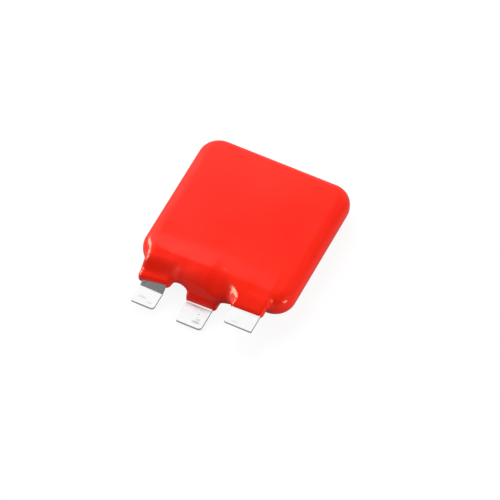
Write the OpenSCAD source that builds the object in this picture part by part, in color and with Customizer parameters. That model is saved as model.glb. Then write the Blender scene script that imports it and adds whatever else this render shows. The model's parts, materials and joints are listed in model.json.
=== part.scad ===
// Three-terminal metal-oxide varistor: two square ceramic blocks soldered between
// three flat terminals and dipped in epoxy. Millimetres, +Z up, resting on the coat's
// flat underside, with the terminal tabs towards -Y. The origin is the middle of the underside.

/* [Coated body] */
// Side of the square coated body
body_w = 37; // [36.6:0.1:40]
// Height of the coated body at its edge
body_h = 6.4; // [6.2:0.1:7]
// Radius of the body's corners, seen from above
body_r = 5; // [3.5:0.1:6]
// Radius of the coat's soft edge, seen from the side
edge_r = 3; // [2:0.1:3.1]
// How square the soft edge is: 2 is a true round
edge_power = 2.2; // [2:0.1:3]
// How far the top swells in the middle
crown = 0.25; // [0:0.05:0.6]

/* [Ceramic blocks] */
// Side of a square ceramic block
block_w = 34; // [30:0.5:34]
// Thickness of a ceramic block
block_h = 1.3; // [1:0.05:1.4]
// Radius of a block's corners
block_r = 3; // [1:0.5:4]
// Bare rim of a block around its silver film
silver_margin = 1; // [0.5:0.1:2]
// Thickness of a silver film
silver_h = 0.03; // [0.02:0.01:0.05]
// Thickness of a solder layer
solder_h = 0.08; // [0.05:0.01:0.12]

/* [Terminals] */
// Thickness of the terminal sheet
sheet_h = 0.6; // [0.4:0.05:0.7]
// Width of the plate that is soldered to the blocks
plate_w = 29; // [28.9:0.1:31]
// Depth of that plate
plate_d = 26; // [20:0.5:30]
// Radius of the plate's corners
plate_r = 3; // [1:0.5:5]
// Radius on the inside of the terminals' bends
bend_r = 0.5; // [0.3:0.1:1]

/* [Left terminal tab, from the plate between the blocks] */
// Width of the tab
left_w = 5.5; // [4:0.1:6]
// Middle of the tab
left_x = -11.7; // [-12:0.1:-11]
// Tip of the tab
left_tip = -28.7; // [-32:0.1:-27]
// Top face of the tab
left_top = 1.7; // [1.5:0.05:2]

/* [Middle terminal tab, from the plate under the blocks] */
// Width of the tab
middle_w = 6.1; // [5:0.1:6.5]
// Middle of the tab
middle_x = -0.4; // [-1:0.1:0.5]
// Tip of the tab
middle_tip = -28.7; // [-32:0.1:-27]
// Top face of the tab
middle_top = 1.1; // [1:0.05:1.2]

/* [Right terminal tab, from the plate over the blocks] */
// Width of the tab
right_w = 6.8; // [5:0.1:7]
// Middle of the tab
right_x = 10.5; // [9.5:0.1:11]
// Tip of the tab
right_tip = -26.7; // [-32:0.1:-26]
// Top face of the tab
right_top = 4.9; // [4.7:0.05:5.1]

/* [Coat round the terminals] */
// Front of the coat between the tabs, where its nose is furthest out
web_y = -20.7; // [-20.8:0.05:-20.5]
// Spread of the fillets where the coat runs onto the terminals
fillet = 2.6; // [2:0.1:3]
// Height of the rounding along the coat's lips
lip_r = 0.8; // [0.6:0.05:0.8]
// Points on each of the curve's spans round the coat
coat_steps = 3; // [2:1:5]

/* [Hidden] */
$fn = 64;

coat_red = "#f23022";
tin = "#d9dadb";
silver = "#c9c6be";
solder = "#9a9c9e";
zinc_oxide = "#3f4a45";

// The stack, from the bottom up, in the middle of the body's height
stack_h = 3 * sheet_h + 2 * block_h + 4 * (solder_h + silver_h);
joint_h = solder_h + silver_h;
bottom_z = (body_h - stack_h) / 2;
lower_block_z = bottom_z + sheet_h + joint_h;
centre_z = lower_block_z + block_h + joint_h;
upper_block_z = centre_z + sheet_h + joint_h;
top_z = upper_block_z + block_h + joint_h;

// Where the tabs' bends begin and end, along Y
left_bend_from = -21;
left_bend_to = -24.2;
middle_bend_from = -21.2;
middle_bend_to = -23.1;
right_bend_from = -17.6;
right_bend_to = -22.7;
// Flat cuts that make up a bend's arc
bend_cuts = 3;

// Plan of the coat round a terminal: x from and to, y of the lip and its slant, z from and to at the lip
left_plan = [left_x - 4, left_x + 3.5, -22.75, 0.14, 1.2, 3.75];
middle_plan = [middle_x - 3.7, middle_x + 3.7, -22.8, 0.03, 0.1, 1.75];
right_plan = [right_x - 4, right_x + 3.8, -22.3, 0.03, 3.7, 5.5];
// The web of coat between the terminals, in the same way
web_plan = [left_x + 2.6, right_x - 1.8, web_y, 0, 1.6, 6.4];
// How the top climbs from the lip: run of the level strip, softness of its end, run and power of
// the curve behind it, and the height where it ends
left_climb = [2, 0.5, 2.8, 2, 6.35];
middle_climb = [0.1, 0.4, 5.4, 1.8, 6.35];
right_climb = [0.2, 0.6, 3.4, 1.5, 6.5];
web_climb = [0, 0.5, 1, 2, 6.4];
// Width and height of the rounded upper edges and height of the lower ones, at the lips and behind them
lip_edge = [0.9, lip_r, lip_r];
left_edge = [1.6, 0.9, lip_r];
middle_edge = [2.2, 1.2, lip_r];
right_edge = [2.3, 2.5, lip_r];
web_edge = [2.4, 2.4, 2.4];
// The web sags towards the right: from which x, over what run, how far, and how much thinner its
// edges get there
sag_from = -0.8;
sag_run = 2.6;
web_sag = 1.6;
sag_edge = 0.8;
// Where the edges begin to widen, and over what run
edge_from = -22.2;
edge_run = 1.8;
// Corner radii in plan, of the coat round the terminals and of the web, and where both end in the body
neck_r = 1;
web_r = 2.5;
neck_back = -10;
// Where the fillets end in the body, over what run, and the share of them that each neck has
fillet_back = -11;
fillet_run = 6;
left_fillet = 0.8;
middle_fillet = 0.9;
right_fillet = 0.5;
// Share of the fillets that stays near the underside, the height up to which it holds, and the run
// over which the rest comes in
low_fillet = 0.45;
low_z = 1.5;
low_run = 2.5;
// Left flank of the coat round the right terminal, which swings out into the body: how far to the
// right it counts, its slope, where and how softly it starts, and the heights over which it comes in
flank_to = right_x + 0.1;
flank_run = 4.2;
flare = 1.5;
flare_from = -19.4;
flare_soft = 2.8;
flare_start = -2.3;
flare_z = 3;
flare_run = 2.5;

// How far inside the coat's edge its spine lies, in the body and in the necks
body_inset = 3;
neck_inset = 0.8;
// How far behind the lip the necks' outer sides have their last line, and how far in front of the
// web their inner sides have it
side_run = 3;
cove_gap = 0.8;
// Half side of the core, the flat middle of the faces, and where it ends at the front
core = 13;
core_y = -14.2;
// Rounds that bring a point onto the skin, and how far it goes in each, as a share of the field
reach_rounds = 22;
reach_share = 1.4;
// How far the lines under the necks lean forward, where that begins and over what run
line_lean = 0.3;
lean_from = -18;
lean_run = 3;
// Rings of points over the coat's edge, samples that place them, and the length that a full turn adds
rings = 22;
line_samples = 60;
bend_weight = 1.2;
// Rings inside the core, as shares of its size
top_rings = [0.35, 0.7];
bottom_rings = [0.5];

// Square with rounded corners
module rounded(size, r, h) {
    linear_extrude(h)
        translate([-size.x / 2 + r, -size.y / 2 + r])
            union() {
                translate([-r, 0]) square([size.x, size.y - 2 * r]);
                translate([0, -r]) square([size.x - 2 * r, size.y]);
                for (x = [0, size.x - 2 * r], y = [0, size.y - 2 * r])
                    translate([x, y]) circle(r);
            }
}

// Shape of the coat
// The coat is the zero level of a field: slabs with soft edges that run into each other.

function ease(t) = let (s = min(max(t, 0), 1)) s * s * (3 - 2 * s);

// Joins two fields over a band k wide
function blend(a, b, k) = let (h = max(k - abs(a - b), 0) / k) min(a, b) - h * h * h * k / 6;

// 0 well below t = 0 and t well above it, with a bend k wide between them
function soft_plus(t, k) = (t + sqrt(t * t + k * k)) / 2;

// Distance in plan from a rectangle with corners of r
function plan_distance(p, lo, hi, r) =
    let (
        qx = abs(p.x - (lo.x + hi.x) / 2) - (hi.x - lo.x) / 2 + r,
        qy = abs(p.y - (lo.y + hi.y) / 2) - (hi.y - lo.y) / 2 + r
    ) norm([max(qx, 0), max(qy, 0)]) + min(max(qx, qy), 0) - r;

// Field of a rounded edge: a and b are 0 where its rounding begins and 1 on its two faces
function soft_edge(a, b, size, power) =
    let (c = max(a, 0), d = max(b, 0))
        (min(max(a, b), 0) + pow(pow(c, power) + pow(d, power), 1 / power) - 1) * size;

function swell(p) =
    let (a = 2 * p.x / body_w, b = 2 * p.y / body_w) crown * max(1 - a * a, 0) * max(1 - b * b, 0);

function body_field(p) =
    let (
        half = body_w / 2,
        top = body_h + swell(p),
        side = plan_distance(p, [-half, -half], [half, half], body_r),
        rise = abs(p.z - top / 2) - top / 2
    ) soft_edge(side / edge_r + 1, rise / edge_r + 1, edge_r, edge_power);

// Coat round a terminal; out moves its left side outwards, and share is how much its edges widen
function neck_field(p, plan, climb, edge, r = neck_r, out = 0, share = 1) =
    let (
        y = p.y - plan[3] * (p.x - (plan[0] + plan[1]) / 2),
        strip = climb[0], foot = climb[1], run = climb[2], power = climb[3], level = climb[4],
        way = min((soft_plus(y - plan[2] - strip, foot) - soft_plus(-strip, foot)) / run, 1),
        top = level - (level - plan[5]) * pow(1 - way, power),
        round = lip_edge + (edge - lip_edge) * share * ease((p.y - edge_from) / edge_run),
        side = plan_distance([p.x, y], [plan[0] - out, plan[2]], [plan[1], neck_back], r),
        over = max((p.z - top) / round[1], (plan[4] - p.z) / round[2])
    ) soft_edge(side / round[0] + 1, over + 1, lip_r, 2);

// How far the right neck's left flank swings out
function flank_swing(p) =
    flare * (soft_plus(p.y - flare_from, flare_soft) - soft_plus(flare_start, flare_soft))
        * ease((p.z - flare_z) / flare_run);

// Web, lowered by its sag at this place
function web_field(p) =
    let (
        t = ease((p.x - sag_from) / sag_run),
        plan = web_plan - [0, 0, 0, 0, 0, web_sag * t],
        climb = web_climb - [0, 0, 0, 0, web_sag * t]
    ) neck_field(p, plan, climb, web_edge - [0, sag_edge * t, sag_edge * t], web_r);

function skin(p) =
    let (
        low = low_fillet + (1 - low_fillet) * ease((p.z - low_z) / low_run),
        k = 0.01 + fillet * low * ease((fillet_back - p.y) / fillet_run),
        flank = ease((flank_to - p.x) / flank_run),
        a = blend(body_field(p), web_field(p), k),
        b = blend(a, neck_field(p, left_plan, left_climb, left_edge), left_fillet * k),
        c = blend(b, neck_field(p, middle_plan, middle_climb, middle_edge), middle_fillet * k),
        right = neck_field(p, right_plan, right_climb, right_edge, neck_r, flank_swing(p), flank)
    ) max(blend(c, right, right_fillet * k), -p.z);

// Point of the skin along a ray from a point inside it
function reach(p, dir, n = reach_rounds) =
    n == 0 ? p : reach(p - reach_share * skin(p) * dir, dir, n - 1);

// Stations round the coat: its edge, its spine and the core, each with x and y, and the spine's z.
function station(rim, spine, z, inner) = [rim.x, rim.y, spine.x, spine.y, z, inner.x, inner.y];

function side_station(x, y) =
    let (s = 1 - 2 * body_inset / body_w, c = core / (body_w / 2))
        station([x, y], [s * x, s * y], body_h / 2, [c * x, c * y]);

// Along the left side of a neck to its lip, round the lip and back along the right side. left and
// right say how far behind the lip the side starts; without them it starts at the web.
function neck_stations(plan, left, right) =
    let (
        x0 = plan[0], x1 = plan[1], mid = (x0 + x1) / 2, z = (plan[4] + plan[5]) / 2, d = neck_inset,
        high = (z + body_h / 2) / 2,
        lip0 = plan[2] + plan[3] * (x0 - mid), lip1 = plan[2] + plan[3] * (x1 - mid),
        a = is_undef(left) ? web_y - cove_gap - lip0 : left, d0 = min(d, a / 2),
        b = is_undef(right) ? web_y - cove_gap - lip1 : right, d1 = min(d, b / 2)
    ) [
        station([x0, lip0 + a], [x0 + d, lip0 + a], high, [x0 + 1.6, core_y]),
        station([x0, lip0 + 0.4 * a], [x0 + d, lip0 + (d0 + a) / 2], z, [x0 + 2, core_y]),
        station([x0, lip0], [x0 + d, lip0 + d0], z, [x0 + 2.4, core_y]),
        station([x0 + 1, lip0], [x0 + d + 0.6, lip0 + d0], z, [x0 + 2.8, core_y]),
        station([x1 - 1, lip1], [x1 - d - 0.6, lip1 + d1], z, [x1 - 2.8, core_y]),
        station([x1, lip1], [x1 - d, lip1 + d1], z, [x1 - 2.4, core_y]),
        station([x1, lip1 + 0.4 * b], [x1 - d, lip1 + (d1 + b) / 2], z, [x1 - 2, core_y]),
        station([x1, lip1 + b], [x1 - d, lip1 + b], high, [x1 - 1.6, core_y])
    ];

// Round the web from one neck to the next
function web_stations(from, to) =
    let (x0 = from[1], x1 = to[0], mid = (x0 + x1) / 2, z = body_h / 2) [
        station([x0 + 0.3, web_y - 0.3], [x0 - 0.5, web_y + 1.2], z, [x0 + 0.8, core_y]),
        station([mid, web_y], [mid, web_y + 2], z, [mid, core_y]),
        station([x1 - 0.3, web_y - 0.3], [x1 + 0.5, web_y + 1.2], z, [x1 - 0.8, core_y])
    ];

stations =
    let (h = body_w / 2, q = h - body_r * 0.9, m = h - body_r * 0.25, s = h - body_inset)
        concat(
            [station([-m + 0.3, -m], [-s + 0.3, -s + 1], body_h / 2, [-core - 0.9, core_y + 1.6])],
            neck_stations(left_plan, left = side_run),
            web_stations(left_plan, middle_plan),
            neck_stations(middle_plan),
            web_stations(middle_plan, right_plan),
            neck_stations(right_plan, right = side_run),
            [
                station([m, -m], [s - 0.5, -s + 0.3], body_h / 2, [core + 0.2, core_y + 1.6]),
                side_station(h, -q), side_station(h, -h / 3), side_station(h, h / 3),
                side_station(h, q), side_station(m, m), side_station(q, h),
                side_station(h / 3, h), side_station(-h / 3, h),
                side_station(-q, h), side_station(-m, m), side_station(-h, q),
                side_station(-h, h / 3), side_station(-h, -h / 3), side_station(-h, -q)
            ]
        );

// Closed smooth curve that the stations steer
function span(a, b, c, d, t) =
    let (s = 1 - t, t2 = t * t, t3 = t2 * t)
        (s * s * s * a + (3 * t3 - 6 * t2 + 4) * b + (3 * t + 3 * t2 - 3 * t3 + 1) * c + t3 * d) / 6;

function curve(list, steps) =
    let (n = len(list))
        [for (i = [0 : n - 1], k = [0 : steps - 1])
            span(list[i], list[(i + 1) % n], list[(i + 2) % n], list[(i + 3) % n], k / steps)];

// Point over or under the line from the core (f = 0) to the spine (f = 1)
function level_point(s, f, up) =
    let (
        xy = [s[5], s[6]] * (1 - f) + [s[2], s[3]] * f,
        z = body_h / 2 * (1 - f) + s[4] * f,
        lean = up > 0 ? 0 : line_lean * 4 * f * (1 - f) * ease((lean_from - s[3]) / lean_run),
        dir = [0, -lean, up]
    ) reach([xy.x, xy.y, z], dir / norm(dir));

// Point where a ray from the spine meets the skin, from straight up (90) to straight down (-90)
function edge_point(s, angle) =
    let (out = [s[0] - s[2], s[1] - s[3], 0])
        reach([s[2], s[3], s[4]], out / norm(out) * cos(angle) + [0, 0, sin(angle)]);

// The skin from the core's edge on top (v = 0) over the coat's edge to the core's edge below (v = 3)
function skin_point(s, v) =
    v < 1 ? level_point(s, v, 1) : v > 2 ? level_point(s, 3 - v, -1) : edge_point(s, 90 - 180 * (v - 1));

// The same line cut into even steps, where a bend counts as length
function even_line(s) =
    let (
        v = [for (i = [0 : line_samples]) 3 * i / line_samples],
        p = [for (x = v) skin_point(s, x)],
        step = [for (i = [1 : line_samples]) p[i] - p[i - 1]],
        way = [for (d = step) d / max(norm(d), 0.001)],
        cost = [for (i = [0 : line_samples - 1])
            norm(step[i]) + bend_weight * (norm(way[i] - way[max(i - 1, 0)]))],
        n = line_samples,
        total = [for (i = 0, sum = 0; i <= n; sum = sum + (i < n ? cost[i] : 0), i = i + 1) sum],
        table = [for (i = [0 : n]) [total[i], v[i]]]
    ) [for (k = [0 : rings - 1]) skin_point(s, lookup(total[n] * k / (rings - 1), table))];

module epoxy_skin() {
    around = curve(stations, coat_steps);
    n = len(around);
    lines = [for (s = around) concat(
        [for (f = top_rings) reach([s[5] * f, s[6] * f, body_h / 2], [0, 0, 1])],
        even_line(s),
        [for (f = bottom_rings) reach([s[5] * f, s[6] * f, body_h / 2], [0, 0, -1])]
    )];
    m = len(lines[0]);
    poles = [reach([0, 0, body_h / 2], [0, 0, 1]), reach([0, 0, body_h / 2], [0, 0, -1])];
    polyhedron(
        concat([for (line = lines) each line], poles),
        concat(
            [for (j = [0 : n - 1]) let (next = (j + 1) % n) [n * m, next * m, j * m]],
            [for (j = [0 : n - 1], i = [0 : m - 2])
                let (a = j * m + i, b = ((j + 1) % n) * m + i) each [[a, b, a + 1], [b, b + 1, a + 1]]],
            [for (j = [0 : n - 1]) let (next = (j + 1) % n) [n * m + 1, j * m + m - 1, next * m + m - 1]]
        ),
        convexity = 6
    );
}

// The skin, less everything that was dipped
module epoxy_coating() {
    color(coat_red) difference() {
        epoxy_skin();
        dipped_stack();
    }
}

module dipped_stack() {
    bottom_terminal();
    bottom_solder();
    lower_block_bottom_silver();
    lower_ceramic_block();
    lower_block_top_silver();
    centre_lower_solder();
    centre_terminal();
    centre_upper_solder();
    upper_block_bottom_silver();
    upper_ceramic_block();
    upper_block_top_silver();
    top_solder();
    top_terminal();
}

// Blocks, films and solder
module ceramic_block(z) {
    color(zinc_oxide) translate([0, 0, z]) rounded([block_w, block_w], block_r, block_h);
}

module silver_film(z) {
    size = block_w - 2 * silver_margin;
    color(silver) translate([0, 0, z]) rounded([size, size], max(block_r - silver_margin, 0.5), silver_h);
}

module solder_layer(z) {
    color(solder) translate([0, 0, z]) rounded([plate_w, plate_d], plate_r, solder_h);
}

module bottom_solder() { solder_layer(bottom_z + sheet_h); }
module lower_block_bottom_silver() { silver_film(lower_block_z - silver_h); }
module lower_ceramic_block() { ceramic_block(lower_block_z); }
module lower_block_top_silver() { silver_film(lower_block_z + block_h); }
module centre_lower_solder() { solder_layer(centre_z - solder_h); }
module centre_upper_solder() { solder_layer(centre_z + sheet_h); }
module upper_block_bottom_silver() { silver_film(upper_block_z - silver_h); }
module upper_ceramic_block() { ceramic_block(upper_block_z); }
module upper_block_top_silver() { silver_film(upper_block_z + block_h); }
module top_solder() { solder_layer(top_z - solder_h); }

// Terminals
function arc(mid, r, from, to) =
    [for (i = [0 : bend_cuts]) let (a = from + (to - from) * i / bend_cuts) mid + r * [-sin(a), cos(a)]];

// Side view, y and z, of a strip that runs level, bends down a slope and runs level to its tip
module strip_profile(z0, z1, from, to, back, tip) {
    slope = atan2(z0 - z1, from - to);
    r = bend_r + sheet_h / 2;
    cut = r * tan(slope / 2);
    upper = [from + cut, z0 + sheet_h / 2 - r];
    lower = [to - cut, z1 + sheet_h / 2 + r];
    polygon(concat(
        [[back, z0 + sheet_h]],
        arc(upper, bend_r + sheet_h, 0, slope),
        arc(lower, -bend_r, slope, 0),
        [[tip, z1 + sheet_h], [tip, z1]],
        arc(lower, -bend_r - sheet_h, 0, slope),
        arc(upper, bend_r, slope, 0),
        [[back, z0]]
    ));
}

// Plan of a tab, with its own radius on each corner of the tip
module tab_plan(w, back, tip, left_r, right_r) {
    translate([left_r - w / 2, tip]) square([w - left_r - right_r, back - tip]);
    translate([-w / 2, tip + left_r]) square([left_r, back - tip - left_r]);
    translate([w / 2 - right_r, tip + right_r]) square([right_r, back - tip - right_r]);
    translate([left_r - w / 2, tip + left_r]) circle(left_r);
    translate([w / 2 - right_r, tip + right_r]) circle(right_r);
}

// One piece of sheet: a plate in the stack and a strip bent down from it to the tab
module terminal(z, x, w, top, from, to, tip, left_r, right_r) {
    back = plate_r - plate_d / 2;
    color(tin) {
        translate([0, 0, z]) rounded([plate_w, plate_d], plate_r, sheet_h);
        translate([x, 0, 0]) intersection() {
            linear_extrude(body_h) tab_plan(w, back, tip, left_r, right_r);
            rotate([90, 0, 90]) translate([0, 0, -w]) linear_extrude(2 * w)
                strip_profile(z, top - sheet_h, from, to, back, tip);
        }
    }
}

module bottom_terminal() {
    terminal(
        bottom_z, middle_x, middle_w, middle_top, middle_bend_from, middle_bend_to, middle_tip, 0.3, 0.9
    );
}

module centre_terminal() {
    terminal(centre_z, left_x, left_w, left_top, left_bend_from, left_bend_to, left_tip, 0.25, 0.8);
}

module top_terminal() {
    terminal(top_z, right_x, right_w, right_top, right_bend_from, right_bend_to, right_tip, 0.7, 0.25);
}

epoxy_coating();
bottom_terminal();
bottom_solder();
lower_block_bottom_silver();
lower_ceramic_block();
lower_block_top_silver();
centre_lower_solder();
centre_terminal();
centre_upper_solder();
upper_block_bottom_silver();
upper_ceramic_block();
upper_block_top_silver();
top_solder();
top_terminal();
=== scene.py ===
import json
import math

import bmesh
import bpy
import numpy as np
from mathutils import Matrix, Vector


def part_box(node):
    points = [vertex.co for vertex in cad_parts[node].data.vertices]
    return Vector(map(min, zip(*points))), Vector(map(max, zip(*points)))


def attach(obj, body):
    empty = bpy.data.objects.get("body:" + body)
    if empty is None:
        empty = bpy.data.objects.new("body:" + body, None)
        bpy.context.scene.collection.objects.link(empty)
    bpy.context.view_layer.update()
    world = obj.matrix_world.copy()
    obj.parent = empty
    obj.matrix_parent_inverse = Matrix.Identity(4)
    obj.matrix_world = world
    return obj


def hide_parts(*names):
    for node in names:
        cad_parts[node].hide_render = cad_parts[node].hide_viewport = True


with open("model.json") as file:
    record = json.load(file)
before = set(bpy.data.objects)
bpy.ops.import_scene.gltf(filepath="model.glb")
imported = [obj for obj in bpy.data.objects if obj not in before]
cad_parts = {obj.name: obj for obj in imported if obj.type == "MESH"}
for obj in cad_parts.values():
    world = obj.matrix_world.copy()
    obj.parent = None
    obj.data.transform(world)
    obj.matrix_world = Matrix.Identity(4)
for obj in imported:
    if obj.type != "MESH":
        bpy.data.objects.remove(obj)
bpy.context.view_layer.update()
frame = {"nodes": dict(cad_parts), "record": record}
scene = bpy.context.scene
scene.view_settings.view_transform = "Standard"
mm = 0.001
print("varistor: frame loaded")


# Camera

camera = {
    "azimuth": 24.06,        # degrees round from the tabs' side
    "elevation": 53.5,
    "roll": 2.2,
    "distance": 1.078,       # metres from the part's origin
    "lens": 348.0,           # millimetres
    "right": 0.00077,        # how far the aim lies right of the origin, seen by the camera
    "up": -0.00337,          # and above it
}


def setCamera(v):
    a = math.radians(v["azimuth"])
    e = math.radians(v["elevation"])
    back = Vector((math.sin(a) * math.cos(e), -math.cos(a) * math.cos(e), math.sin(e)))
    side = Vector((math.cos(a), math.sin(a), 0))
    top = back.cross(side)
    turn = math.radians(v["roll"])
    right = side * math.cos(turn) + top * math.sin(turn)
    up = top * math.cos(turn) - side * math.sin(turn)
    data = bpy.data.cameras.new("photoCamera")
    data.lens = v["lens"]
    data.clip_start = 0.01
    data.clip_end = 20
    cam = bpy.data.objects.new("photoCamera", data)
    scene.collection.objects.link(cam)
    place = back * v["distance"] + right * v["right"] + up * v["up"]
    cam.matrix_world = Matrix((
        (right.x, up.x, back.x, place.x),
        (right.y, up.y, back.y, place.y),
        (right.z, up.z, back.z, place.z),
        (0, 0, 0, 1)))
    scene.camera = cam


setCamera(camera)


# Material helpers

noiseSpan = (0.3, 0.7)       # nearly all of a noise texture's values lie in it


def newMaterial(name):
    mat = bpy.data.materials.new(name)
    mat.use_nodes = True
    tree = mat.node_tree
    shader = tree.nodes["Principled BSDF"]
    coords = tree.nodes.new("ShaderNodeTexCoord")
    return mat, tree, shader, coords


def noise(tree, vector, scale, detail=3.0, rough=0.5):
    n = tree.nodes.new("ShaderNodeTexNoise")
    n.inputs["Scale"].default_value = scale
    n.inputs["Detail"].default_value = detail
    n.inputs["Roughness"].default_value = rough
    tree.links.new(vector, n.inputs["Vector"])
    return n.outputs["Fac"]


# Two stops, each a place and a colour
def ramp(tree, value, stops):
    r = tree.nodes.new("ShaderNodeValToRGB")
    for element, (place, colour) in zip(r.color_ramp.elements, stops):
        element.position = place
        element.color = (*colour, 1)
    tree.links.new(value, r.inputs["Fac"])
    return r.outputs["Color"]


def mapRange(tree, value, low, high, toLow, toHigh):
    m = tree.nodes.new("ShaderNodeMapRange")
    m.inputs["From Min"].default_value = low
    m.inputs["From Max"].default_value = high
    m.inputs["To Min"].default_value = toLow
    m.inputs["To Max"].default_value = toHigh
    tree.links.new(value, m.inputs["Value"])
    return m.outputs["Result"]


def maths(tree, operation, a, b):
    n = tree.nodes.new("ShaderNodeMath")
    n.operation = operation
    for socket, value in zip(n.inputs, (a, b)):
        if isinstance(value, (int, float)):
            socket.default_value = value
        else:
            tree.links.new(value, socket)
    return n.outputs[0]


def bump(tree, height, shader, strength, distance):
    b = tree.nodes.new("ShaderNodeBump")
    b.inputs["Strength"].default_value = strength
    b.inputs["Distance"].default_value = distance
    tree.links.new(height, b.inputs["Height"])
    tree.links.new(b.outputs["Normal"], shader.inputs["Normal"])


# Epoxy

epoxy = {
    # the two reds of the clouds
    "lit": (0.93, 0.016, 0.002),
    "deep": (0.91, 0.012, 0.001),
    "roughness": (0.12, 0.2),
    "shine": 0.55,
    "tintScale": 55.0,       # broad clouds, about 18 mm across
    "tintEdges": (0.35, 0.65),
    "glossScale": 165.0,
    "peelScale": 420.0,      # orange peel, about 2 mm across
    "peelHeight": 0.00001,
    "swellScale": 110.0,     # slow swells of the dip, about 9 mm across
    "swellHeight": 0.00012,
}


def epoxyMaterial(v):
    mat, tree, shader, coords = newMaterial("redEpoxy")
    place = coords.outputs["Object"]
    clouds = noise(tree, place, v["tintScale"], 2.0)
    tint = ramp(tree, clouds, zip(v["tintEdges"], (v["deep"], v["lit"])))
    tree.links.new(tint, shader.inputs["Base Color"])
    gloss = mapRange(tree, noise(tree, place, v["glossScale"]), *noiseSpan, *v["roughness"])
    tree.links.new(gloss, shader.inputs["Roughness"])
    shader.inputs["Specular IOR Level"].default_value = v["shine"]
    swells = noise(tree, place, v["swellScale"], 1.0)
    orange = noise(tree, place, v["peelScale"], 2.0)
    peel = maths(tree, "MULTIPLY", orange, v["peelHeight"] / v["swellHeight"])
    bump(tree, maths(tree, "ADD", swells, peel), shader, 1.0, v["swellHeight"])
    return mat


# Tin

tin = {
    "colour": (0.96, 0.962, 0.965),
    "dull": (0.93, 0.934, 0.938),
    "roughness": (0.18, 0.26),
    "smearScale": 240.0,
    "smearEdges": (0.35, 0.55),
    "grainScale": 900.0,
    "grainBump": (0.1, 0.00001),
    "markEdge": (0.4, 1.0),  # where a mark fades, as a share of its half size
    "marks": [               # x, y, half width, half length in millimetres, and how dark
        (0.45, -25.15, 0.20, 0.16, 0.8),
        (0.8, -27.35, 1.3, 0.45, 0.35),
        (1.0, -26.6, 0.7, 0.5, 0.2),
        (-12.6, -26.8, 1.4, 0.5, 0.15),
        (-10.4, -27.6, 0.9, 0.4, 0.15),
        (9.4, -25.8, 1.2, 0.4, 0.1),
    ],
}


def farFromMark(tree, place, x, y, across, along):
    m = tree.nodes.new("ShaderNodeMapping")
    m.vector_type = "TEXTURE"
    m.inputs["Location"].default_value = (x * mm, y * mm, 0)
    m.inputs["Scale"].default_value = (across * mm, along * mm, 1)
    tree.links.new(place, m.inputs["Vector"])
    far = tree.nodes.new("ShaderNodeVectorMath")
    far.operation = "LENGTH"
    tree.links.new(m.outputs["Vector"], far.inputs[0])
    return far.outputs["Value"]


def tinMaterial(v):
    mat, tree, shader, coords = newMaterial("brightTin")
    place = coords.outputs["Object"]
    smears = noise(tree, place, v["smearScale"], 4.0, 0.6)
    tint = ramp(tree, smears, zip(v["smearEdges"], (v["dull"], v["colour"])))
    for x, y, across, along, dark in v["marks"]:
        shade = tree.nodes.new("ShaderNodeVectorMath")
        shade.operation = "SCALE"
        tree.links.new(tint, shade.inputs[0])
        far = farFromMark(tree, place, x, y, across, along)
        tree.links.new(mapRange(tree, far, *v["markEdge"], 1 - dark, 1), shade.inputs["Scale"])
        tint = shade.outputs["Vector"]
    tree.links.new(tint, shader.inputs["Base Color"])
    shader.inputs["Metallic"].default_value = 1.0
    grain = noise(tree, place, v["grainScale"])
    tree.links.new(mapRange(tree, grain, *noiseSpan, *v["roughness"]), shader.inputs["Roughness"])
    bump(tree, grain, shader, *v["grainBump"])
    return mat


# Inside pieces: plain finishes, with the grain that each one has

inside = {
    "solder": {"light": (0.50, 0.51, 0.52), "dark": (0.36, 0.37, 0.38),
               "metal": 1.0, "rough": 0.5, "scale": 700.0},
    "silver": {"light": (0.80, 0.78, 0.74), "dark": (0.66, 0.64, 0.60),
               "metal": 1.0, "rough": 0.6, "scale": 1500.0},
    "zinc_oxide": {"light": (0.06, 0.08, 0.07), "dark": (0.03, 0.04, 0.035),
                   "metal": 0.0, "rough": 0.7, "scale": 2500.0},
}
grainEdges = (0.35, 0.65)
grainBump = (0.3, 0.00001)


def insideMaterial(name, v):
    mat, tree, shader, coords = newMaterial(name)
    grain = noise(tree, coords.outputs["Object"], v["scale"], 4.0, 0.65)
    tint = ramp(tree, grain, zip(grainEdges, (v["dark"], v["light"])))
    tree.links.new(tint, shader.inputs["Base Color"])
    shader.inputs["Metallic"].default_value = v["metal"]
    shader.inputs["Roughness"].default_value = v["rough"]
    bump(tree, grain, shader, *grainBump)
    return mat


redEpoxy = epoxyMaterial(epoxy)
brightTin = tinMaterial(tin)
insideLooks = {name: insideMaterial(name, v) for name, v in inside.items()}
slotOf = {s["node"]: s["material_slot"] for s in frame["record"]["subparts"]}
for node, obj in frame["nodes"].items():
    if slotOf[node] in insideLooks:
        obj.data.materials.clear()
        obj.data.materials.append(insideLooks[slotOf[node]])
print("varistor: materials made")


# Terminals: the CAD sheet with its shear edges softened

sheet = {
    "softEdge": 0.00005,
    "edgeSteps": 2,
    "sharp": 25.0,           # degrees: what is softened
    "flat": 0.5,             # degrees: what counts as one face
    "weld": 1e-7,
}
tinPieces = bpy.data.collections.new("tinPieces")    # what the tin's cards are mirrored in


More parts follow.
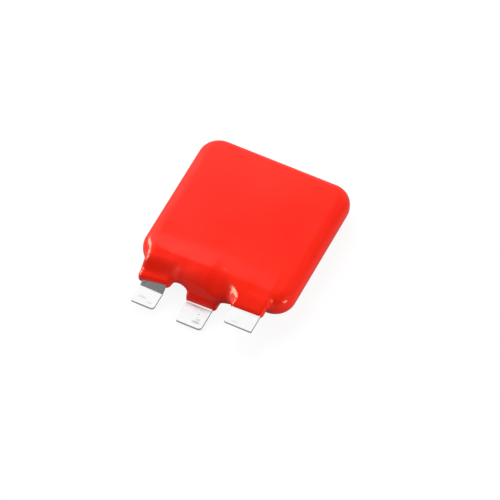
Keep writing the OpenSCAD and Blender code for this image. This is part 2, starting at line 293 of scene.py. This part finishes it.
def softenedTerminal(name, node, v):
    data = frame["nodes"][node].data.copy()
    bm = bmesh.new()
    bm.from_mesh(data)
    bmesh.ops.remove_doubles(bm, verts=bm.verts, dist=v["weld"])
    bmesh.ops.dissolve_limit(bm, angle_limit=math.radians(v["flat"]), verts=bm.verts, edges=bm.edges)
    sharp = [e for e in bm.edges if e.is_manifold and e.calc_face_angle() > math.radians(v["sharp"])]
    bmesh.ops.bevel(bm, geom=sharp, offset=v["softEdge"], segments=v["edgeSteps"], profile=0.5,
                    affect="EDGES", clamp_overlap=True)
    for face in bm.faces:
        face.smooth = True
    bm.to_mesh(data)
    bm.free()
    data.materials.clear()
    data.materials.append(brightTin)
    obj = bpy.data.objects.new(name, data)
    scene.collection.objects.link(obj)
    tinPieces.objects.link(obj)
    weighted = obj.modifiers.new("flatFaces", "WEIGHTED_NORMAL")
    weighted.keep_sharp = True
    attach(obj, "root")
    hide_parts(node)


softenedTerminal("left_tab_sheet", "centre_terminal", sheet)
softenedTerminal("middle_tab_sheet", "bottom_terminal", sheet)
softenedTerminal("right_tab_sheet", "top_terminal", sheet)
print("varistor: terminals made")


# Coat: slabs with soft edges that run into each other, in millimetres

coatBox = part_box("epoxy_coating")
body = {
    "width": (coatBox[1].x - coatBox[0].x) / mm,
    "height": 6.4,
    "cornerR": 5.0,
    "edgeR": 3.0,
    "edgePower": 2.2,        # 2 is a true round
    "crown": 0.25,
    "inset": 3.0,            # how far inside the edge the spine lies
}
tabsFrom = -24.4             # only the tabs reach beyond this line


def tabMiddle(node):
    points = np.array([v.co for v in frame["nodes"][node].data.vertices]) / mm
    points = points[points[:, 1] < tabsFrom]
    return (points[:, 0].min() + points[:, 0].max()) / 2


leftX = tabMiddle("centre_terminal")
middleX = tabMiddle("bottom_terminal")
rightX = tabMiddle("top_terminal")

# plan: x from and to, y of the lip and its slant, z from and to at the lip
# climb: run of the level strip, softness of its end, run and power of the curve behind it, its height
# edge: width and height of the edges behind the lip, and height of the lower edge
necks = {
    "web": {
        "plan": (leftX + 2.6, rightX - 1.8, -20.7, 0.0, 1.6, 6.4), "climb": (0.0, 0.5, 1.0, 2.0, 6.4),
        "edge": (2.4, 2.4, 2.4), "cornerR": 2.5, "fillet": 1.0},
    "left": {
        "plan": (leftX - 4, leftX + 3.5, -22.75, 0.14, 1.2, 3.75), "climb": (2.0, 0.5, 2.8, 2.0, 6.35),
        "edge": (1.6, 0.9, 0.8), "cornerR": 1.0, "fillet": 0.8},
    "middle": {
        "plan": (middleX - 3.7, middleX + 3.7, -22.8, 0.03, 0.1, 1.75), "climb": (0.1, 0.4, 5.4, 1.8, 6.35),
        "edge": (2.2, 1.2, 0.8), "cornerR": 1.0, "fillet": 0.9},
    "right": {
        "plan": (rightX - 4.0, rightX + 3.8, -22.3, 0.03, 3.7, 5.5), "climb": (0.2, 0.6, 3.4, 1.5, 6.5),
        "edge": (2.3, 2.5, 0.8), "cornerR": 1.0, "fillet": 0.5},
}

neckShape = {
    "back": -10.0,           # where the necks end inside the body
    # the edges at the lip, and from where and over what run they grow to those behind it
    "lipEdge": (0.9, 0.8, 0.8), "edgeFrom": -22.2, "edgeRun": 1.8,
    # how softly the necks run into each other and the body, and from where forward
    "fillet": 2.6, "leastFillet": 0.01, "filletBack": -11.0, "filletRun": 6.0,
    # what is left of that near the floor, and from what height and over what rise it grows
    "lowFillet": 0.45, "lowFrom": 1.5, "lowRun": 2.5,
    # the right neck's left flank swings out into the body, more so higher up
    "flare": 1.5, "flareFrom": -19.4, "flareSoft": 2.8, "flareStart": -2.3,
    "flareLow": 3.0, "flareRise": 2.5,
    # its edges grow behind the lip on that flank only
    "flankTo": rightX + 0.1, "flankRun": 4.2,
    # the web sags towards the right neck: how far, how much thinner its edges get, and where
    "sag": 1.6, "sagEdge": 0.8, "sagFrom": -0.8, "sagRun": 2.6,
    "inset": 0.8,            # how far inside a neck's rim its spine lies
    "coveGap": 0.8,          # how far the coves between the necks reach past the web's lip
}

skin = {
    "steps": 12,             # points on each span round the coat
    "samples": 220,          # tries on each line from the flat middle over the edge to the sole
    "rings": 110,            # points that are kept of them
    "bendWeight": 1.2,       # how much closer they lie where the line bends
    "reachRounds": 40,       # steps towards the skin, and how bold they are
    "reachStep": 1.4,
    "shortest": 1e-4,        # a shorter step along a line has no bend
    # how far the lines under the necks lean forward, and where
    "lean": 0.3, "leanFrom": -18.0, "leanRun": 3.0,
    "core": 13.0,            # half side of the flat middle, and its front
    "coreFront": -14.2,
    "topShares": (0.15, 0.3, 0.45, 0.6, 0.75, 0.87, 0.95),     # rings over the flat middle
    "bottomShares": (0.8, 0.4),                                # and under it
    # a neck's flank: how far behind the lip its first line lies by a corner of the body, the share of
    # that way where its second line lies, and the steps of all four on the flat middle
    "shoulder": 3.0, "flankShare": 0.4, "coreSteps": (1.6, 2.0, 2.4, 2.8),
    "lipStep": 1.0,          # from the lip's corner to the line beside it, at the rim
    "spineStep": 0.6,        # and at the spine
    "sole": 1e-8,            # what counts as lying on the floor, in metres
}


def ease(t):
    s = np.clip(t, 0, 1)
    return s * s * (3 - 2 * s)


# The smaller of two distances, rounded over k where they meet
def runTogether(a, b, k):
    h = np.maximum(k - np.abs(a - b), 0) / k
    return np.minimum(a, b) - h ** 3 * k / 6


# What of t is above 0, with a soft start
def softPlus(t, k):
    return 0.5 * (t + np.sqrt(t * t + k * k))


# Distance to a rectangle with round corners
def planDistance(x, y, low, high, r):
    qx = np.abs(x - (low[0] + high[0]) / 2) - (high[0] - low[0]) / 2 + r
    qy = np.abs(y - (low[1] + high[1]) / 2) - (high[1] - low[1]) / 2 + r
    return np.hypot(np.maximum(qx, 0), np.maximum(qy, 0)) + np.minimum(np.maximum(qx, qy), 0) - r


# Distance to a slab's rounded edge, from how far past its start a point lies to the side and over it
def softEdge(a, b, size, power):
    soft = (np.maximum(a, 0) ** power + np.maximum(b, 0) ** power) ** (1 / power)
    return (np.minimum(np.maximum(a, b), 0) + soft - 1) * size


def bodyField(p):
    h = body["width"] / 2
    bulge = np.maximum(1 - (p[0] / h) ** 2, 0) * np.maximum(1 - (p[1] / h) ** 2, 0)
    top = body["height"] + body["crown"] * bulge
    side = planDistance(p[0], p[1], (-h, -h), (h, h), body["cornerR"])
    rise = np.abs(p[2] - top / 2) - top / 2
    return softEdge(side / body["edgeR"] + 1, rise / body["edgeR"] + 1, body["edgeR"], body["edgePower"])


def neckField(p, neck, flare=0.0, flank=1.0):
    x0, x1, lip, slant, z0, z1 = neck["plan"]
    strip, foot, run, power, level = neck["climb"]
    v = neckShape
    y = p[1] - slant * (p[0] - (x0 + x1) / 2)
    way = np.minimum((softPlus(y - lip - strip, foot) - softPlus(-strip, foot)) / run, 1)
    top = level - (level - z1) * (1 - way) ** power
    behind = flank * ease((p[1] - v["edgeFrom"]) / v["edgeRun"])
    wide, high, low = (e + (f - e) * behind for e, f in zip(v["lipEdge"], neck["edge"]))
    side = planDistance(p[0], y, (x0 - flare, lip), (x1, v["back"]), neck["cornerR"])
    over = np.maximum((p[2] - top) / high, (z0 - p[2]) / low)
    return softEdge(side / wide + 1, over + 1, v["lipEdge"][1], 2.0)


# The web as it is at x
def saggedWeb(x):
    web, v = necks["web"], neckShape
    t = ease((x - v["sagFrom"]) / v["sagRun"])
    wide, high, low = web["edge"]
    return {"plan": (*web["plan"][:5], web["plan"][5] - v["sag"] * t),
            "climb": (*web["climb"][:4], web["climb"][4] - v["sag"] * t),
            "edge": (wide, high - v["sagEdge"] * t, low - v["sagEdge"] * t), "cornerR": web["cornerR"]}


# Distance to the whole skin: body, web and necks run together, cut off by the floor
def skinField(p):
    v = neckShape
    k = v["fillet"] * ease((v["filletBack"] - p[1]) / v["filletRun"])
    rise = ease((p[2] - v["lowFrom"]) / v["lowRun"])
    k = v["leastFillet"] + k * (v["lowFillet"] + (1 - v["lowFillet"]) * rise)
    swing = softPlus(p[1] - v["flareFrom"], v["flareSoft"]) - softPlus(v["flareStart"], v["flareSoft"])
    flare = v["flare"] * swing * ease((p[2] - v["flareLow"]) / v["flareRise"])
    flank = ease((v["flankTo"] - p[0]) / v["flankRun"])
    f = runTogether(bodyField(p), neckField(p, saggedWeb(p[0])), k * necks["web"]["fillet"])
    for name in ("left", "middle"):
        f = runTogether(f, neckField(p, necks[name]), k * necks[name]["fillet"])
    f = runTogether(f, neckField(p, necks["right"], flare, flank), k * necks["right"]["fillet"])
    return np.maximum(f, -p[2])


# Goes along a way until it meets the skin
def reach(start, way):
    p = np.array(start, float)
    for _ in range(skin["reachRounds"]):
        p = p - skin["reachStep"] * skinField(p) * way
    return p


# A line of the mesh: it aims at the rim from the spine inside, at height z, and ends on the flat middle
def station(rim, spine, z, core):
    return (*rim, *spine, z, *core)


def sideStation(x, y):
    h = body["width"] / 2
    s = 1 - body["inset"] / h
    c = s * skin["core"] / (h - body["inset"])
    return station((x, y), (s * x, s * y), body["height"] / 2, (c * x, c * y))


# The four lines on one flank of a neck, from the body to the lip
def flankStations(x, lip, behind, heights, inward):
    front = skin["coreFront"]
    deep = neckShape["inset"]
    lipDeep = min(deep, 0.5 * behind)
    spine = x + inward * deep
    high, z = heights
    places = [
        ((x, lip + behind), (spine, lip + behind), high),
        ((x, lip + skin["flankShare"] * behind), (spine, lip + (lipDeep + behind) / 2), z),
        ((x, lip), (spine, lip + lipDeep), z),
        ((x + inward * skin["lipStep"], lip), (spine + inward * skin["spineStep"], lip + lipDeep), z),
    ]
    return [station(rim, inner, level, (x + inward * step, front))
            for (rim, inner, level), step in zip(places, skin["coreSteps"])]


def neckStations(neck, left=None, right=None):
    x0, x1, lip, slant, z0, z1 = neck["plan"]
    half = slant * (x1 - x0) / 2
    cove = necks["web"]["plan"][2] - neckShape["coveGap"]
    z = (z0 + z1) / 2
    heights = ((z + body["height"] / 2) / 2, z)
    leftFlank = flankStations(x0, lip - half, left or cove - lip + half, heights, 1)
    rightFlank = flankStations(x1, lip + half, right or cove - lip - half, heights, -1)
    return leftFlank + rightFlank[::-1]


# One line by each flank and one between them
def webStations(left, right):
    x0, x1 = left["plan"][1], right["plan"][0]
    y = necks["web"]["plan"][2]
    z = body["height"] / 2
    front = skin["coreFront"]
    return [
        station((x0 + 0.3, y - 0.3), (x0 - 0.5, y + 1.2), z, (x0 + 0.8, front)),
        station(((x0 + x1) / 2, y), ((x0 + x1) / 2, y + 2.0), z, ((x0 + x1) / 2, front)),
        station((x1 - 0.3, y - 0.3), (x1 + 0.5, y + 1.2), z, (x1 - 0.8, front)),
    ]


# Lines all the way round: the two front corners are given one by one, so that the lines fan out evenly
def allStations():
    h = body["width"] / 2
    q = h - body["cornerR"] * 0.9        # where a corner's round begins
    m = h - body["cornerR"] * 0.25       # and about its middle
    s = h - body["inset"]
    core, front, half = skin["core"], skin["coreFront"], body["height"] / 2
    left, middle, right = necks["left"], necks["middle"], necks["right"]
    sides = [(h, -q), (h, -h / 3), (h, h / 3), (h, q), (m, m), (q, h), (h / 3, h), (-h / 3, h),
             (-q, h), (-m, m), (-h, q), (-h, h / 3), (-h, -h / 3), (-h, -q)]
    return np.array(
        [station((-m + 0.3, -m), (-s + 0.3, -s + 1), half, (-core - 0.9, front + 1.6))]
        + neckStations(left, left=skin["shoulder"])
        + webStations(left, middle)
        + neckStations(middle)
        + webStations(middle, right)
        + neckStations(right, right=skin["shoulder"])
        + [station((m, -m), (s - 0.5, -s + 0.3), half, (core + 0.2, front + 1.6))]
        + [sideStation(x, y) for x, y in sides])


# A cubic B-spline round the stations
def smoothLoop(points, steps):
    t = (np.arange(steps) / steps)[None, :, None]
    a, b, c, d = (np.roll(points, -k, 0)[:, None, :] for k in range(4))
    loop = ((1 - t) ** 3 * a + (3 * t ** 3 - 6 * t ** 2 + 4) * b
            + (3 * t + 3 * t ** 2 - 3 * t ** 3 + 1) * c + t ** 3 * d) / 6
    return loop.reshape(-1, points.shape[1])


# Points on the skin: v runs from 0 to 1 over the top, to 2 round the edge and to 3 under it
def skinPoints(around, v):
    s = around.T[:, :, None]
    level = np.where(v < 1, v, 3 - v)
    onEdge = (v >= 1) & (v <= 2)
    share = np.where(onEdge, 1.0, level)
    half = body["height"] / 2
    x = s[5] * (1 - share) + s[2] * share
    y = s[6] * (1 - share) + s[3] * share
    z = half * (1 - share) + s[4] * share
    angle = np.where(onEdge, np.pi / 2 - np.pi * (v - 1), np.where(v < 1, np.pi / 2, -np.pi / 2))
    out = np.array([s[0] - s[2], s[1] - s[3]])
    out = out / np.hypot(out[0], out[1])
    front = ease((skin["leanFrom"] - s[3]) / skin["leanRun"])
    lean = skin["lean"] * (v > 2) * 4 * share * (1 - share) * front
    way = np.array([out[0] * np.cos(angle), out[1] * np.cos(angle) - lean, np.sin(angle) + 0 * out[0]])
    return reach(np.array([x, y, z]), way / np.sqrt((way ** 2).sum(0)))


# Keeps as many points as there are rings, closer together where a line bends
def evenLines(around):
    v = np.broadcast_to(np.linspace(0, 3, skin["samples"] + 1), (len(around), skin["samples"] + 1))
    p = skinPoints(around, v)
    step = np.diff(p, axis=2)
    length = np.sqrt((step ** 2).sum(0))
    way = step / np.maximum(length, skin["shortest"])
    turn = np.sqrt((np.diff(way, axis=2, prepend=way[:, :, :1]) ** 2).sum(0))
    gone = np.cumsum(length + skin["bendWeight"] * turn, 1)
    total = np.concatenate([np.zeros((len(around), 1)), gone], 1)
    shares = np.linspace(0, 1, skin["rings"])
    even = np.array([np.interp(shares * t[-1], t, w) for t, w in zip(total, v)])
    return skinPoints(around, even)


def coatMesh():
    around = smoothLoop(allStations(), skin["steps"])
    half = body["height"] / 2

    def flatRings(shares, up):
        xy = np.stack([around[:, 5, None] * shares, around[:, 6, None] * shares])
        start = np.concatenate([xy, np.full_like(xy[:1], half)])
        return reach(start, np.array([0, 0, up])[:, None, None])

    lines = np.concatenate([
        flatRings(np.array(skin["topShares"]), 1),
        evenLines(around),
        flatRings(np.array(skin["bottomShares"]), -1)], 2)
    n, m = lines.shape[1:]
    points = lines.reshape(3, -1).T
    poles = reach(np.array([[0, 0], [0, 0], [half, half]]), np.array([[0, 0], [0, 0], [1, -1]])).T
    points = np.concatenate([points, poles])
    j = np.arange(n)
    nxt = (j + 1) % n
    i = np.arange(m - 1)
    a = (j[:, None] * m + i).ravel()
    b = (nxt[:, None] * m + i).ravel()
    quads = np.stack([a, a + 1, b + 1, b], 1).tolist()
    caps = np.stack([np.full(n, n * m), j * m, nxt * m], 1).tolist()
    caps += np.stack([np.full(n, n * m + 1), nxt * m + m - 1, j * m + m - 1], 1).tolist()
    return points * mm, quads + caps


coatPieces = bpy.data.collections.new("coatPieces")    # what the warm boxes are mirrored in


def coatPiece():
    points, faces = coatMesh()
    data = bpy.data.meshes.new("epoxy_skin")
    data.from_pydata(points.tolist(), [], faces)
    data.shade_smooth()
    data.materials.append(redEpoxy)
    obj = bpy.data.objects.new("epoxy_skin", data)
    scene.collection.objects.link(obj)
    coatPieces.objects.link(obj)
    bm = bmesh.new()
    bm.from_mesh(data)
    flat = [f for f in bm.faces if max(v.co.z for v in f.verts) < skin["sole"]]
    sole = bmesh.ops.dissolve_faces(bm, faces=flat)["region"]
    bmesh.ops.triangulate(bm, faces=sole, ngon_method="BEAUTY")
    bmesh.ops.recalc_face_normals(bm, faces=bm.faces)
    for face in bm.faces:
        face.smooth = True
    bm.to_mesh(data)
    bm.free()
    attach(obj, "root")
    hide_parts("epoxy_coating")


coatPiece()
print("varistor: coat made")


# Floor, lamps and world

studio = {
    "floorSide": 3.0,
    "floorColour": 0.15,     # what gives light back to the part
    "floorSeen": 0.12,       # the floor as the camera sees it, with the shadow on it
    "floorGlow": 0.90,       # and the white that it adds
    "floorMirrored": 0.15,   # what it adds where it is mirrored
    "roomMirrored": 0.03,    # the same for the room
    "floorRough": 0.9,
    "touch": 0.00004,        # how near a piece has to be to touch the floor
    "lamps": {
        # direction round from the tabs' side, height, distance, width, height, power, colour, and use:
        # it lights the part, is mirrored in its coat or in its tin alone, or does both for all pieces
        "key": (217, 38, 0.75, 0.40, 0.40, 4.8, (1, 1, 1), "lights"),
        "leftFill": (-75, 20, 0.50, 0.40, 0.40, 1.9, (1, 1, 1), "lights"),
        "rightFill": (84, 15, 0.50, 0.40, 0.40, 2.3, (1, 1, 1), "lights"),
        "leftBox": (-67, 32, 0.50, 0.18, 0.20, 1.45, (1, 0.82, 0.5), "coat"),
        "cornerBox": (-107, 22, 0.50, 0.12, 0.20, 0.8, (1, 0.85, 0.6), "coat"),
        "rightBox": (70, 8, 0.50, 0.16, 0.16, 0.5, (1, 0.85, 0.7), "both"),
        "tinCard": (204, 53, 0.60, 1.10, 1.10, 2.75, (1, 1, 1), "tin"),
        "tinFront": (0, 12, 0.60, 1.00, 0.30, 0.4, (1, 1, 1), "tin"),
    },
    # brightness of the room towards each side, and how softly two sides meet
    "up": 0.10, "below": 0.9, "front": 0.05, "back": 0.45, "left": 0.9, "right": 0.05, "blend": 0.2,
}


def floorPiece(v):
    bpy.ops.mesh.primitive_plane_add(size=v["floorSide"])
    floor = bpy.context.object
    floor.name = "floor"
    mat, tree, shader, coords = newMaterial("paleFloor")
    path = tree.nodes.new("ShaderNodeLightPath").outputs
    seen = maths(tree, "MAXIMUM", path["Is Camera Ray"], path["Is Transmission Ray"])
    colour = mapRange(tree, seen, 0, 1, v["floorColour"], v["floorSeen"])
    tree.links.new(colour, shader.inputs["Base Color"])
    shader.inputs["Roughness"].default_value = v["floorRough"]
    shader.inputs["Specular IOR Level"].default_value = 0.0
    shader.inputs["Emission Color"].default_value = (1, 1, 1, 1)
    glow = maths(tree, "ADD", maths(tree, "MULTIPLY", seen, v["floorGlow"]),
                 maths(tree, "MULTIPLY", path["Is Glossy Ray"], v["floorMirrored"]))
    tree.links.new(glow, shader.inputs["Emission Strength"])
    # clear from below, and where the part touches it, so that the underside can be looked at
    under = tree.nodes.new("ShaderNodeNewGeometry").outputs["Backfacing"]
    touch = maths(tree, "LESS_THAN", path["Ray Length"], v["touch"])
    clear = tree.nodes.new("ShaderNodeBsdfTransparent")
    mix = tree.nodes.new("ShaderNodeMixShader")
    tree.links.new(maths(tree, "MAXIMUM", under, touch), mix.inputs["Fac"])
    tree.links.new(shader.outputs["BSDF"], mix.inputs[1])
    tree.links.new(clear.outputs["BSDF"], mix.inputs[2])
    tree.links.new(mix.outputs["Shader"], tree.nodes["Material Output"].inputs["Surface"])
    floor.data.materials.append(mat)


def boxLamp(name, turn, height, away, wide, tall, power, colour, use):
    data = bpy.data.lights.new(name, "AREA")
    data.shape = "RECTANGLE"
    data.size = wide
    data.size_y = tall
    data.energy = power
    data.color = colour
    lamp = bpy.data.objects.new(name, data)
    a, e = math.radians(turn), math.radians(height)
    place = away * Vector((math.sin(a) * math.cos(e), -math.cos(a) * math.cos(e), math.sin(e)))
    lamp.location = place
    lamp.rotation_euler = (-place).to_track_quat("-Z", "Y").to_euler()
    lamp.visible_glossy = use != "lights"
    lamp.visible_diffuse = use in ("lights", "both")
    if use in ("tin", "coat"):
        lamp.light_linking.receiver_collection = {"tin": tinPieces, "coat": coatPieces}[use]
    scene.collection.objects.link(lamp)


def studioWorld(v):
    world = bpy.data.worlds.new("studio")
    scene.world = world
    world.use_nodes = True
    tree = world.node_tree
    coords = tree.nodes.new("ShaderNodeTexCoord")
    split = tree.nodes.new("ShaderNodeSeparateXYZ")
    tree.links.new(coords.outputs["Generated"], split.inputs[0])
    x, y, z = (split.outputs[k] for k in "XYZ")
    room = 0.0
    for axis, low, high in ((x, "left", "right"), (y, "front", "back"), (z, "below", "up")):
        bright = mapRange(tree, axis, -v["blend"], v["blend"], v[low], v[high])
        share = maths(tree, "MULTIPLY", axis, axis)      # the three add up to 1
        room = maths(tree, "ADD", room, maths(tree, "MULTIPLY", share, bright))
    path = tree.nodes.new("ShaderNodeLightPath").outputs
    room = maths(tree, "ADD", room, maths(tree, "MULTIPLY", path["Is Glossy Ray"], v["roomMirrored"]))
    mix = tree.nodes.new("ShaderNodeMix")
    mix.inputs["B"].default_value = 1.0
    seen = maths(tree, "MAXIMUM", path["Is Camera Ray"], path["Is Transmission Ray"])
    tree.links.new(seen, mix.inputs["Factor"])
    tree.links.new(room, mix.inputs["A"])
    tree.nodes["Background"].inputs["Color"].default_value = (1, 1, 1, 1)
    tree.links.new(mix.outputs["Result"], tree.nodes["Background"].inputs["Strength"])


floorPiece(studio)
for name, v in studio["lamps"].items():
    boxLamp(name, *v)
studioWorld(studio)
print("varistor: studio made")
